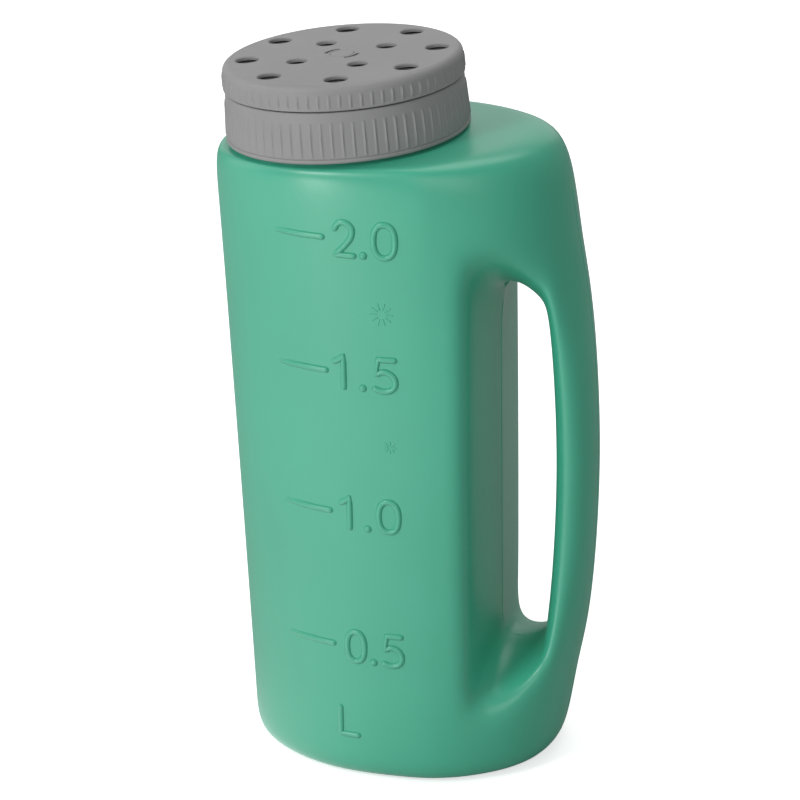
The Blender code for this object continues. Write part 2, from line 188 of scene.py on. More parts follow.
def edit_mesh(obj):
    mesh = bmesh.from_edit_mesh(obj.data)
    mesh.verts.index_update()
    mesh.verts.ensure_lookup_table()
    return mesh


def choose(obj, kind, test):
    """Selects, in edit mode, the verts, edges or faces that pass a test."""
    bpy.ops.mesh.select_all(action="DESELECT")
    mesh = edit_mesh(obj)
    for item in getattr(mesh, kind):
        if test(item):
            item.select_set(True)
    mesh.select_flush_mode()
    bmesh.update_edit_mesh(obj.data)


def place(obj, spots):
    """Moves the given vertices, by number, to new places in edit mode."""
    mesh = edit_mesh(obj)
    for number, spot in spots:
        mesh.verts[number].co = spot
    bmesh.update_edit_mesh(obj.data)


def finish_modifiers(obj):
    activate(obj)
    for modifier in list(obj.modifiers):
        bpy.ops.object.modifier_apply(modifier=modifier.name)


def settle(obj, name, matrix=None):
    """Names a piece and moves its place into its mesh."""
    obj.name = name
    obj.data.name = name
    if matrix is not None:
        obj.matrix_world = matrix @ obj.matrix_world
    activate(obj)
    bpy.ops.object.transform_apply(location=True, rotation=True, scale=True)
    return obj


def shade(obj, degrees=40):
    activate(obj)
    bpy.ops.object.shade_smooth_by_angle(angle=math.radians(degrees))


def join(objects):
    activate(objects[0])
    for obj in objects[1:]:
        obj.select_set(True)
    bpy.ops.object.join()
    return objects[0]


def cut(obj, tool, operation="DIFFERENCE"):
    boolean = obj.modifiers.new("Cut", "BOOLEAN")
    boolean.operation = operation
    boolean.solver = "EXACT"
    boolean.object = tool
    finish_modifiers(obj)
    bpy.data.objects.remove(tool, do_unlink=True)


def dress(obj, material):
    obj.data.materials.clear()
    obj.data.materials.append(material)


def neck_frame():
    lean = Matrix.Rotation(-lid_sizes().lean, 4, "Y")
    return Matrix.Translation((0.0, 0.0, bottle_sizes().height)) @ lean


def lathe(profile, segments, fill="ends"):
    """A ring extruded through a profile of (radius, distance below the dial's top), about the Z axis."""
    deselect()
    radius, down = profile[0]
    bpy.ops.mesh.primitive_circle_add(vertices=segments, radius=radius, location=(0.0, 0.0, 0.0))
    obj = bpy.context.object
    start_edit()
    bpy.ops.mesh.select_all(action="SELECT")
    bpy.ops.transform.translate(value=(0.0, 0.0, -down))
    for next_radius, next_down in profile[1:]:
        bpy.ops.mesh.extrude_edges_move(TRANSFORM_OT_translate={"value": (0.0, 0.0, down - next_down)})
        ratio = next_radius / radius
        bpy.ops.transform.resize(value=(ratio, ratio, 1.0), center_override=(0.0, 0.0, 0.0))
        radius, down = next_radius, next_down
    choose(obj, "edges", lambda edge: edge.is_boundary)
    if fill == "ends":
        bpy.ops.mesh.fill_holes(sides=0)
    elif fill == "loop":
        bpy.ops.mesh.bridge_edge_loops()
    bpy.ops.mesh.select_all(action="SELECT")
    bpy.ops.mesh.normals_make_consistent(inside=False)
    end_edit()
    return obj


def raise_ribs(obj, profile, first_row, last_row, height):
    """Draws one column of vertices in every rib's span outwards, between two rows of a lathed shape."""
    columns = lid_sizes().ribs * RIB_SPAN
    start_edit("VERT")
    rows = range(first_row, last_row + 1)
    choose(obj, "verts", lambda v: v.index // columns in rows and v.index % RIB_SPAN == 0)
    ratio = 1.0 + height / profile[first_row][0]
    bpy.ops.transform.resize(value=(ratio, ratio, 1.0), center_override=(0.0, 0.0, 0.0))
    end_edit()


def sector(profile, middle, half_angle):
    """A filled profile turned through part of a circle about the Z axis."""
    deselect()
    bpy.ops.mesh.primitive_circle_add(
        vertices=len(profile), radius=MM, fill_type="NGON", location=(0.0, 0.0, 0.0)
    )
    obj = bpy.context.object
    turn = Matrix.Rotation(middle - half_angle, 3, "Z")
    start_edit()
    place(obj, [(i, turn @ Vector((radius, 0.0, -down))) for i, (radius, down) in enumerate(profile)])
    bpy.ops.mesh.select_all(action="SELECT")
    bpy.ops.mesh.spin(steps=10, angle=2 * half_angle, center=(0.0, 0.0, 0.0), axis=(0.0, 0.0, 1.0))
    bpy.ops.mesh.select_all(action="SELECT")
    bpy.ops.mesh.remove_doubles(threshold=0.001 * MM)
    bpy.ops.mesh.normals_make_consistent(inside=False)
    end_edit()
    return obj


def thread(root, crest, low, turns):
    """A rounded ridge wound about the Z axis that fades into the wall at both ends."""
    deselect()
    bpy.ops.mesh.primitive_circle_add(vertices=8, radius=0.5 * MM, location=(0.0, 0.0, 0.0))
    ridge = bpy.context.object
    steps = round(turns * THREAD_STEPS)
    flank = blend(root, crest, 0.6)
    buried = root - 0.3 * MM
    section = [(root, -1.0), (flank, -0.85), (crest, -0.45), (crest, 0.45)]
    section += [(flank, 0.85), (root, 1.0), (buried, 0.5), (buried, -0.5)]
    start_edit()
    place(ridge, [(i, Vector((radius, 0.0, up * MM - low))) for i, (radius, up) in enumerate(section)])
    end_edit()
    screw = ridge.modifiers.new("Wind", "SCREW")
    screw.angle = 2 * math.pi * turns
    screw.screw_offset = lid_sizes().pitch * turns
    screw.steps = steps + 1
    screw.render_steps = steps + 1
    finish_modifiers(ridge)
    start_edit()
    faded = []
    for vertex in edit_mesh(ridge).verts:
        step = vertex.index // len(section)
        share = min(step, steps - step, FADE_STEPS) / FADE_STEPS
        radius = vertex.co.xy.length
        ratio = blend(min(radius, root), radius, share) / radius
        faded.append((vertex.index, Vector((vertex.co.x * ratio, vertex.co.y * ratio, vertex.co.z))))
    place(ridge, faded)
    choose(ridge, "edges", lambda edge: edge.is_boundary)
    bpy.ops.mesh.fill_holes(sides=0)
    bpy.ops.mesh.select_all(action="SELECT")
    bpy.ops.mesh.normals_make_consistent(inside=False)
    end_edit()
    return ridge


def soften(obj):
    """Smooth shading that keeps large flat faces flat."""
    shade(obj, 50)
    normals = obj.modifiers.new("Normals", "WEIGHTED_NORMAL")
    normals.keep_sharp = True
    finish_modifiers(obj)


def hole_tool(radius, reach, angle, top, bottom, flare=0.0):
    """A cutter for a hole with a rounded rim at its top, which may widen downwards."""
    profile = [(radius + 0.75 * MM, top - 0.5 * MM), (radius + 0.42 * MM, top + 0.06 * MM)]
    profile += [(radius + 0.16 * MM, top + 0.2 * MM), (radius, top + 0.5 * MM), (radius + flare, bottom)]
    tool = lathe(profile, 40)
    tool.matrix_world = Matrix.Rotation(angle, 4, "Z") @ Matrix.Translation((reach, 0.0, 0.0))
    return tool


def cut_holes(plate, outer_radius, inner_radius, inner_turn, top, bottom, flare=0.0):
    """Eight outer and four inner holes through a plate."""
    lid = lid_sizes()
    turns = [lid.hole_turn + i * math.pi / 4 for i in range(8)]
    tools = [hole_tool(outer_radius, lid.outer_ring, turn, top, bottom, flare) for turn in turns]
    first = lid.hole_turn + math.pi / 8 + inner_turn
    turns = [first + i * math.pi / 2 for i in range(4)]
    tools += [hole_tool(inner_radius, lid.inner_ring, turn, top, bottom) for turn in turns]
    cut(plate, join(tools))


# Shader maths


class Signal:
    """What runs between shader nodes. Arithmetic on it adds Math nodes."""

    def __init__(self, tree, socket):
        self.tree = tree
        self.socket = socket

    def maths(self, operation, *values):
        return self.tree.add("ShaderNodeMath", {"operation": operation}, dict(enumerate(values)))

    def __add__(self, other):
        return self.maths("ADD", self, other)

    def __mul__(self, other):
        return self.maths("MULTIPLY", self, other)

    __radd__ = __add__
    __rmul__ = __mul__


class Finish:
    """A material whose nodes are added one call at a time."""

    def __init__(self, name):
        self.material = bpy.data.materials.new(name)
        self.material.use_nodes = True
        self.nodes = self.material.node_tree.nodes
        self.links = self.material.node_tree.links
        self.shader = self.nodes["Principled BSDF"]
        self.place = self.add("ShaderNodeTexCoord", output="Object")

    def add(self, kind, settings=None, inputs=None, output=0):
        node = self.nodes.new(kind)
        for key, value in (settings or {}).items():
            setattr(node, key, value)
        for key, value in (inputs or {}).items():
            if isinstance(value, Signal):
                self.links.new(value.socket, node.inputs[key])
            else:
                node.inputs[key].default_value = value
        return Signal(self, node.outputs[output])

    def noise(self, scale, detail=2.0, roughness=0.5):
        inputs = {"Vector": self.place, "Scale": scale, "Detail": detail, "Roughness": roughness}
        return self.add("ShaderNodeTexNoise", {}, inputs, "Fac")

    def spread(self, signal, low, high, to_low=0.0, to_high=1.0):
        inputs = {"Value": signal, "From Min": low, "From Max": high, "To Min": to_low, "To Max": to_high}
        return self.add("ShaderNodeMapRange", {"clamp": True}, inputs, "Result")

    def mix(self, factor, first, second):
        inputs = {"Factor": factor, 6: first, 7: second}
        return self.add("ShaderNodeMix", {"data_type": "RGBA"}, inputs, 2)

    def bump(self, height, distance, strength=1.0, under=None):
        inputs = {"Height": height, "Distance": distance, "Strength": strength}
        if under:
            inputs["Normal"] = under
        return self.add("ShaderNodeBump", {}, inputs, "Normal")

    def set(self, **values):
        for key, value in values.items():
            socket = self.shader.inputs[key.replace("_", " ")]
            if isinstance(value, Signal):
                self.links.new(value.socket, socket)
            else:
                socket.default_value = value
        return self.material


def tinted(base, factor):
    return (*[channel * factor for channel in base], 1.0)


def blown_polyethylene():
    """Satin green wall: a fine sand-blasted grain, faint waves of the blown wall and a few scuffs."""
    finish = Finish("blown_polyethylene")
    green = palette().green
    cloud = finish.spread(finish.noise(14.0, 3.0), 0.3, 0.7)
    base = finish.mix(cloud, tinted(green, 0.96), tinted(green, 1.04))
    grain = finish.noise(2600.0, 2.0)
    waves = finish.noise(26.0, 1.0)
    scuffs = finish.spread(finish.noise(160.0, 4.0, 0.7), 0.62, 0.75)
    rough = finish.spread(grain, 0.3, 0.7, 0.31, 0.37) + scuffs * 0.05
    normal = finish.bump(waves, 0.5 * MM, 0.35)
    normal = finish.bump(grain, 0.02 * MM, 0.25, normal)
    return finish.set(
        Base_Color=base,
        Roughness=rough,
        Normal=normal,
        Specular_IOR_Level=0.6,
    )


def moulded_polypropylene():
    """Grey lid plastic: a fine spark-eroded grain with slightly polished spots."""
    finish = Finish("moulded_polypropylene")
    grey = palette().grey
    cloud = finish.spread(finish.noise(40.0, 3.0), 0.3, 0.7)
    base = finish.mix(cloud, tinted(grey, 0.97), tinted(grey, 1.03))
    grain = finish.noise(3200.0, 2.0)
    rough = finish.spread(grain, 0.3, 0.7, 0.46, 0.56)
    normal = finish.bump(grain, 0.015 * MM, 0.5)
    return finish.set(Base_Color=base, Roughness=rough, Normal=normal, Specular_IOR_Level=0.35)


def ring_rubber():
    """Dull black rubber with a fine grain."""
    finish = Finish("ring_rubber")
    black = palette().rubber
    grain = finish.noise(1800.0, 3.0)
    base = finish.mix(finish.spread(grain, 0.4, 0.7), tinted(black, 1.0), tinted(black, 1.8))
    normal = finish.bump(grain, 0.02 * MM, 0.6)
    rough = finish.spread(grain, 0.3, 0.7, 0.6, 0.75)
    return finish.set(Base_Color=base, Roughness=rough, Normal=normal)


def material(maker):
    """The material that a maker gives, made only once."""
    return bpy.data.materials.get(maker.__name__) or maker()


# The bottle's form


def oval_at(z):
    """Middle, half length and half depth of the outline at a height."""
    b = bottle_sizes()
    rise = min(max(z / b.shoulder, 0.0), 1.0)
    left = blend(b.left_base, b.left_top, rise)
    right = b.right_widest - b.right_bow * ((z - b.bow_middle) / b.bow_middle) ** 2
    return (left + right) / 2, (right - left) / 2, blend(b.depth_base, b.depth_top, rise)


def oval_point(z, x=None, turn=None, inset=0.0):
    """A point on the front of the oval, by its place along X or by an angle from the handle's side."""
    middle, half_length, depth = oval_at(z)
    half_length -= inset
    depth -= inset
    power = bottle_sizes().roundness
    if x is None:
        cosine = math.cos(turn)
        along = math.copysign(abs(cosine) ** (2.0 / power), cosine)
        return middle + half_length * along, -depth * math.sin(turn) ** (2.0 / power)
    reach = min(abs(x - middle) / half_length, 1.0)
    return x, -depth * (1.0 - reach**power) ** (1.0 / power)


def front_outline(z, inset=0.0):
    """Thirteen points from the seam at the back of the neck, round the front, to the seam on the handle."""
    b = bottle_sizes()
    points = [oval_point(z, turn=a, inset=inset) for a in FRONT_ANGLES]
    middle, half_length, _ = oval_at(z)
    shrink = (half_length - inset) / half_length
    right = middle + half_length - inset
    places = (*FRONT_PLACES, b.pocket_edge, b.pocket_middle)
    places = [middle + (x - middle) * shrink for x in places]
    places += [blend(places[-1], right, share) for share in GRIP_SHARES]
    points += [oval_point(z, x=x, inset=inset) for x in places]
    points.append((right, 0.0))
    return points


def mirrored(front):
    return front + [(x, -y) for x, y in reversed(front[1:-1])]


def swollen(outline):
    """Control points outside an outline by as much as smoothing pulls them in."""
    pushed = []
    for i, (x, y) in enumerate(outline):
        before, after = outline[i - 1], outline[(i + 1) % len(outline)]
        pushed.append((x + (2 * x - before[0] - after[0]) / 6, y + (2 * y - before[1] - after[1]) / 6))
    return pushed


def ring(z, inset=0.0, lean=0.0, rises=(0.0,) * 5):
    """The spots of one ring of the cage."""
    up = [0.0] * MIDDLE_COLUMN + list(rises)
    up += reversed(up[1:-1])
    slope = lean * math.tan(lid_sizes().lean)
    outline = swollen(mirrored(front_outline(z, inset)))
    return [Vector((x, y, z + u + slope * x)) for (x, y), u in zip(outline, up)]


def grip_section(z):
    """The handle's front half at a height: inner edge, front, outer edge and outer seam."""
    b = bottle_sizes()
    middle, half_length, _ = oval_at(z)
    right = middle + half_length
    end = abs(z - b.bow_middle) / b.grip_half
    half_depth = b.grip_depth + b.grip_flare * end**4
    inner, front, outer = b.grip_thickness - 2.4 * MM, b.grip_thickness / 2, 1.6 * MM
    points = []
    for across, deep in ((inner, 0.86), (front, 1.06), (outer, 0.7)):
        x = right - across
        points.append((x, -min(half_depth * deep, -oval_point(z, x=x)[1])))
    points[0] = (points[0][0] + b.grip_lead * end**4, points[0][1])
    points.append((right + 0.7 * MM, 0.0))
    return points


def pocket_ring(z):
    """The spots of a ring through the hand opening. The opening's middle column is dropped later."""
    b = bottle_sizes()
    body = swollen(mirrored(front_outline(z)))[: EDGE_COLUMN + 1]
    body[EDGE_COLUMN] = (b.pocket_edge, oval_point(z, x=b.pocket_edge)[1] - 0.6 * MM)
    front = body + [(b.pocket_middle, -POCKET_DEPTH)] + grip_section(z)
    return [Vector((x, y, z)) for x, y in mirrored(front)]


def seam_spots():
    """The hand opening's edge on the seam plane: up the chamber, over the top, down the grip, under."""
    b = bottle_sizes()
    heights = [blend(b.opening_bottom, b.opening_top, share) for share in SEAM_SHARES]
    chamber = [Vector((b.chamber_wall, 0.0, z)) for z in heights]
    chamber[0] = Vector((b.chamber_wall - 0.3 * MM, 0.0, heights[0] + 0.2 * MM))
    chamber[-1] = Vector((b.chamber_wall + 2.0 * MM, 0.0, heights[-1]))
    grip = []
    for z in reversed(heights):
        middle, half_length, _ = oval_at(z)
        grip.append(Vector((middle + half_length - b.grip_thickness - 0.5 * MM, 0.0, z)))
    grip[0] += Vector((-1.5 * MM, 0.0, -5.0 * MM))
    grip[-1] += Vector((2.5 * MM, 0.0, 1.5 * MM))
    top = Vector((b.pocket_middle + 0.5 * MM, 0.0, b.opening_top + 0.8 * MM))
    bottom = Vector((b.pocket_middle + 1.0 * MM, 0.0, b.opening_bottom - 1.0 * MM))
    return chamber + [top] + grip + [bottom]


def neck_rings(corner):
    """The spots of the rings from the shoulder's corner up into the neck's foot."""
    lid = lid_sizes()
    tilt = neck_frame()
    angles = NECK_ANGLES + [-a for a in reversed(NECK_ANGLES[1:-1])]
    shelf = []
    for spot, turn in zip(corner, angles):
        reach = lid.neck_radius
        foot = tilt @ Vector((reach * math.cos(turn), -reach * math.sin(turn), -lid.shoulder_down))
        shelf.append(spot.lerp(foot, 0.5))
    rings = [shelf]
    outside, inside = lid.neck_radius + 1.8 * MM, lid.neck_radius - 0.3 * MM
    for radius, down in ((outside, lid.shoulder_down), (inside, lid.neck_foot)):
        circle = swollen([(radius * math.cos(a), -radius * math.sin(a)) for a in angles])
        rings.append([tilt @ Vector((x, y, -down)) for x, y in circle])
    return rings


def cage_rings():
    b = bottle_sizes()
    rings = [ring(0.0, 26.0 * MM), ring(0.0, b.base_corner), ring(0.0), ring(b.base_corner)]
    rings.append(ring(b.pocket_bottom, rises=BOTTOM_RISE))
    rings += [pocket_ring(z) for z in POCKET_ROWS]
    rings.append(ring(b.pocket_top, lean=0.2, rises=TOP_RISE))
    rings.append(ring(b.shoulder - b.shoulder_corner, lean=0.6))
    rings.append(ring(b.shoulder, lean=1.0))
    return rings + neck_rings(rings[-1])


FIRST_POCKET_RING = 4
LAST_POCKET_RING = FIRST_POCKET_RING + len(POCKET_ROWS) + 1


def raise_cage():
    """Extrudes the cage ring by ring from a circle on the base, whose middle is filled."""
    rings = cage_rings()
    deselect()
    bpy.ops.mesh.primitive_circle_add(
        vertices=COLUMNS, radius=20 * MM, fill_type="TRIFAN", location=(0, 0, 0)
    )
    cage = bpy.context.object
    start_edit()
    mesh = edit_mesh(cage)
    rim = [v for v in mesh.verts if any(edge.is_boundary for edge in v.link_edges)]
    rim.sort(key=lambda v: (math.atan2(v.co.y, v.co.x) + 0.01) % (2 * math.pi))
    order = [v.index for v in rim[COLUMNS // 2:] + rim[:COLUMNS // 2]]
    hub = next(v.index for v in mesh.verts if v.index not in order)
    place(cage, [(hub, Vector((oval_at(0.0)[0], 0.0, 0.0)))])
    place(cage, zip(order, rings[0]))
    columns = [order]
    choose(cage, "edges", lambda edge: edge.is_boundary)
    for spots in rings[1:]:
        bpy.ops.mesh.extrude_edges_move(TRANSFORM_OT_translate={"value": (0.0, 0.0, 1.0 * MM)})
        mesh = edit_mesh(cage)
        above = []
        for number in columns[-1]:
            below = mesh.verts[number]
            fresh = [e.other_vert(below) for e in below.link_edges if e.other_vert(below).select]
            above.append(fresh[0].index)
        place(cage, zip(above, spots))
        columns.append(above)
    return cage, columns


def open_pocket(cage, columns):
    """Cuts the hand opening out of the front and the back and bridges its edges through the seam."""
    rows = columns[FIRST_POCKET_RING : LAST_POCKET_RING + 1]
    cells = set()
    for low, high in zip(rows, rows[1:]):
        for first in (EDGE_COLUMN, MIDDLE_COLUMN):
            for i, j in ((first, first + 1), (-first, -first - 1)):
                cells.add(frozenset((low[i], low[j], high[i], high[j])))
    bpy.ops.mesh.select_mode(type="FACE")
    choose(cage, "faces", lambda face: frozenset(v.index for v in face.verts) in cells)
    before = [v.co.copy().freeze() for v in edit_mesh(cage).verts]
    bpy.ops.mesh.delete(type="FACE")
    bpy.ops.mesh.select_mode(type="EDGE")
    ceiling = bottle_sizes().pocket_top + 5.0 * MM
    choose(cage, "edges", lambda edge: edge.is_boundary and max(v.co.z for v in edge.verts) < ceiling)
    bpy.ops.mesh.bridge_edge_loops(number_cuts=3, interpolation="LINEAR", use_merge=False)
    sides = (EDGE_COLUMN, MIDDLE_COLUMN, GRIP_COLUMN)
    edge, middle, grip = [[before[row[column]] for row in rows] for column in sides]
    shape_pocket(cage, edge + [middle[-1]] + grip[::-1] + [middle[0]], set(before))


def shape_pocket(cage, front, before):
    """Places the three loops that the bridge added, by walking through from each spot on the front edge."""
    mesh = edit_mesh(cage)
    fresh = {v.index for v in mesh.verts if v.co.copy().freeze() not in before}
    spots = []
    for near, deep in zip(front, seam_spots()):
        chain = [min(mesh.verts, key=lambda v: (v.co - near).length_squared)]
        while len(chain) < 4:
            onward = [e.other_vert(chain[-1]) for e in chain[-1].link_edges]
            onward = [v for v in onward if v.index in fresh and v.co.y > chain[-1].co.y + 5.0 * MM]
            chain.append(min(onward, key=lambda v: (v.co - chain[-1].co).xz.length))
        part_way = Vector([blend(*ends) for ends in zip(near, deep, PART_WAY)])
        spots.append((chain[1].index, part_way))
        spots.append((chain[2].index, deep))
        spots.append((chain[3].index, Vector((part_way.x, -part_way.y, part_way.z))))
    place(cage, spots)


def make_bottle_shell():
    """The whole bottle below its neck, with the hand opening's edge on the chamber kept crisp."""
    cage, columns = raise_cage()
    open_pocket(cage, columns)
    low, high = 50.0 * MM, bottle_sizes().pocket_middle - 4.0 * MM

    def on_chamber_edge(vertex):
        return abs(vertex.co.y) < 0.1 * MM and low < vertex.co.x < high

    choose(cage, "edges", lambda edge: all(on_chamber_edge(v) for v in edge.verts))
    bpy.ops.transform.edge_crease(value=SEAM_CREASE)
    bpy.ops.mesh.select_all(action="SELECT")
    bpy.ops.mesh.normals_make_consistent(inside=False)
    end_edit()
    smooth = cage.modifiers.new("Smooth", "SUBSURF")
    smooth.levels = 3
    smooth.render_levels = 3
    shell = cage.modifiers.new("Wall", "SOLIDIFY")
    shell.thickness = bottle_sizes().wall
    shell.offset = -1.0
    shell.use_even_offset = True
    finish_modifiers(cage)
    activate(cage)
    bpy.ops.object.shade_smooth()
    return settle(cage, "bottle_shell")


def make_neck():
    """The open neck with its outer thread."""
    lid = lid_sizes()
    rim, foot = lid.neck_rim, lid.neck_foot + 2.0 * MM
    bore, outside = lid.neck_bore, lid.neck_radius
    profile = [
        (bore, foot),
        (bore, rim + 0.4 * MM),
        (bore + 0.12 * MM, rim + 0.12 * MM),
        (bore + 0.4 * MM, rim),
        (outside - 0.5 * MM, rim),
        (outside - 0.14 * MM, rim + 0.15 * MM),
        (outside, rim + 0.5 * MM),
        (outside, foot),
    ]
    neck = lathe(profile, ROUND_SEGMENTS, fill="loop")
    cut(neck, thread(outside - 0.4 * MM, outside + 1.1 * MM, 26.0 * MM, 1.75), "UNION")
    return settle(neck, "bottle_neck", neck_frame())


class SHAKER_OT_bottle(bpy.types.Operator):
    """Blow-moulded bottle with its hand opening, handle, shoulder and threaded neck"""

    bl_idname = "shaker.bottle"
    bl_label = "Bottle"

    def execute(self, context):
        shell = make_bottle_shell()
        cut(shell, make_neck(), "UNION")
        shade(shell, 45)
        dress(shell, material(blown_polyethylene))
        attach(shell, "bottle")
        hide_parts("bottle")
        return {"FINISHED"}


# Moulded marks: strokes laid on the wall

# One stroke each, in shares of the mark's width and height. A point with a third value is a corner
GLYPHS = {
    "1": ((0.0, 0.80), (0.55, 0.90), (0.9, 1.0, 1), (0.9, 0.0)),
    "2": (
        (0.02, 0.80),
        (0.22, 0.97),
        (0.55, 1.0),
        (0.90, 0.86),
        (0.92, 0.62),
        (0.6, 0.34),
        (0.0, 0.0, 1),
        (1.0, 0.0),
    ),
    "5": (
        (0.95, 1.0),
        (0.16, 1.0, 1),
        (0.08, 0.52, 1),
        (0.4, 0.61),
        (0.78, 0.54),
        (1.0, 0.32),
        (0.86, 0.08),
        (0.45, -0.01),
        (0.0, 0.05),
    ),
    "L": ((0.0, 1.0), (0.0, 0.0, 1), (1.0, 0.0)),
}
# Places on the front, in millimetres. A mark has its glyph, left, right, low and high
MARKS = (
    ("0", 10.2, 19.5, 52.7, 67.6),
    ("5", 25.6, 34.9, 52.7, 67.6),
    ("1", 9.0, 15.0, 111.0, 125.8),
    ("0", 24.6, 34.6, 111.0, 125.8),
    ("1", 7.8, 14.0, 170.2, 185.0),
    ("5", 24.2, 34.3, 170.2, 185.0),
    ("2", 9.4, 18.7, 224.0, 239.0),
    ("0", 24.6, 34.9, 224.0, 239.0),
    ("L", 6.6, 15.9, 19.2, 32.8),
)
DOTS = ((22.3, 54.2), (21.0, 112.4), (20.3, 171.6), (21.5, 225.4))
TICKS = (60.0, 118.1, 177.3, 231.5)
TICK_ENDS = (-14.5, 5.2)
# Shares of the way along a tick, with how much deeper it lies in the wall there
TICK_FADE = ((0.0, 0.5), (0.12, 0.3), (0.25, 0.15), (0.4, 0.05), (0.6, 0.0), (0.8, 0.0), (1.0, 0.0))
# A starburst has its middle, inner and outer radius and number of rays
STAMPS = ((28.1, 202.3, 2.0, 4.4, 10), (30.6, 147.9, 1.0, 2.4, 8))
MARK_RADIUS, MARK_SINK = 1.3 * MM, 0.3 * MM
MARK_MARGIN = 1.0
DOT_RADIUS, DOT_SINK = 1.7 * MM, 0.6 * MM
STAMP_RADIUS, STAMP_SINK = 0.38 * MM, 0.16 * MM
LINE_RADIUS, LINE_SINK = 0.35 * MM, 0.2 * MM
ZERO_POINTS = 16
ZERO_POWER = 0.85
# Steps of a stroke's round end, in radii: how far out, and how thick
ROUND_END = ((0.98, 0.2), (0.87, 0.5), (0.5, 0.87))


def shell_tree():
    shell = bpy.data.objects["bottle_shell"]
    return BVHTree.FromObject(shell, bpy.context.evaluated_depsgraph_get())


def on_wall(tree, x, z, sink):
    """A point just under the front wall's surface."""
    spot, normal, _, _ = tree.ray_cast(Vector((x, -0.2, z)), Vector((0.0, 1.0, 0.0)))
    return spot - normal * sink


def add_stroke(spots, radius, corners=(), closed=False):
    """A round ridge through some spots, as a mesh. An open one has round ends."""
    spots = list(spots)
    sizes = [1.0] * len(spots)
    if not closed:
        start = (spots[0] - spots[1]).normalized() * radius
        end = (spots[-1] - spots[-2]).normalized() * radius
        head = [(spots[0] + start * share, size) for share, size in ROUND_END]
        tail = [(spots[-1] + end * share, size) for share, size in reversed(ROUND_END)]
        spots = [spot for spot, _ in head] + spots + [spot for spot, _ in tail]
        sizes = [size for _, size in head] + sizes + [size for _, size in tail]
        corners = [i + len(head) for i in corners]
    deselect()
    bpy.ops.curve.primitive_bezier_curve_add(location=(0.0, 0.0, 0.0))
    stroke = bpy.context.object
    data = stroke.data
    data.splines.clear()
    line = data.splines.new("BEZIER")
    line.bezier_points.add(len(spots) - 1)
    line.use_cyclic_u = closed
    for i, (point, spot) in enumerate(zip(line.bezier_points, spots)):
        point.co = spot
        kind = "VECTOR" if i in corners else "AUTO"
        point.handle_left_type = kind
        point.handle_right_type = kind
        point.radius = sizes[i]
    data.resolution_u = 6
    data.bevel_depth = radius
    data.bevel_resolution = 3
    data.use_fill_caps = True
    bpy.ops.object.convert(target="MESH")
    return bpy.context.object


def glyph_stroke(tree, name, left, right, low, high):
    """One figure or letter. A nought is a closed loop."""

    def spot(u, v):
        x = blend(left + MARK_MARGIN, right - MARK_MARGIN, u) * MM
        z = blend(low + MARK_MARGIN, high - MARK_MARGIN, v) * MM
        return on_wall(tree, x, z, MARK_SINK)

    if name == "0":
        loop = []
        for i in range(ZERO_POINTS):
            turn = i * 2 * math.pi / ZERO_POINTS
            cosine, sine = math.cos(turn), math.sin(turn)
            u = 0.5 + 0.5 * math.copysign(abs(cosine) ** ZERO_POWER, cosine)
            v = 0.5 + 0.5 * math.copysign(abs(sine) ** ZERO_POWER, sine)
            loop.append(spot(u, v))
        return add_stroke(loop, MARK_RADIUS, closed=True)
    points = GLYPHS[name]
    corners = [i for i, point in enumerate(points) if len(point) > 2]
    return add_stroke([spot(*point[:2]) for point in points], MARK_RADIUS, corners)


def tick_stroke(tree, z):
    """A litre mark's line, whose left end fades into the wall."""
    spots = []
    for share, extra in TICK_FADE:
        spots.append(on_wall(tree, blend(*TICK_ENDS, share) * MM, z, MARK_SINK + extra * MM))
    return add_stroke(spots, MARK_RADIUS)


class SHAKER_OT_marks(bpy.types.Operator):
    """Raised litre marks and the faint mould stamps beside them"""

    bl_idname = "shaker.marks"
    bl_label = "Litre marks"

    def execute(self, context):
        tree = shell_tree()
        strokes = [tick_stroke(tree, z * MM) for z in TICKS]
        strokes += [glyph_stroke(tree, *mark) for mark in MARKS]
        for x, z in DOTS:
            deselect()
            spot = on_wall(tree, x * MM, z * MM, DOT_SINK)
            bpy.ops.mesh.primitive_uv_sphere_add(
                segments=24, ring_count=12, radius=DOT_RADIUS, location=spot
            )
            strokes.append(bpy.context.object)
        for x, z, inner, outer, count in STAMPS:
            for i in range(count):
                turn = 2 * math.pi * i / count
                ends = [(x + r * math.cos(turn), z + r * math.sin(turn)) for r in (inner, outer)]
                spots = [on_wall(tree, u * MM, v * MM, STAMP_SINK) for u, v in ends]
                strokes.append(add_stroke(spots, STAMP_RADIUS))
        marks = settle(join(strokes), "bottle_marks")
        shade(marks, 60)
        dress(marks, material(blown_polyethylene))
        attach(marks, "bottle")
        return {"FINISHED"}


def outline_spots(tree):
    """The bottle's outline on the seam plane: down the back, then up the handle's outer edge."""
    low, high = 6.0 * MM, bottle_sizes().shoulder - 16.0 * MM
    heights = [blend(low, high, i / 24) for i in range(25)]
    spots = []
    for side, order in ((-1, heights[::-1]), (1, heights)):
        for z in order:
            spot, normal, _, _ = tree.ray_cast(Vector((0.3 * side, 0.0, z)), Vector((-side, 0.0, 0.0)))
            spots.append(spot - normal * LINE_SINK)
    return spots


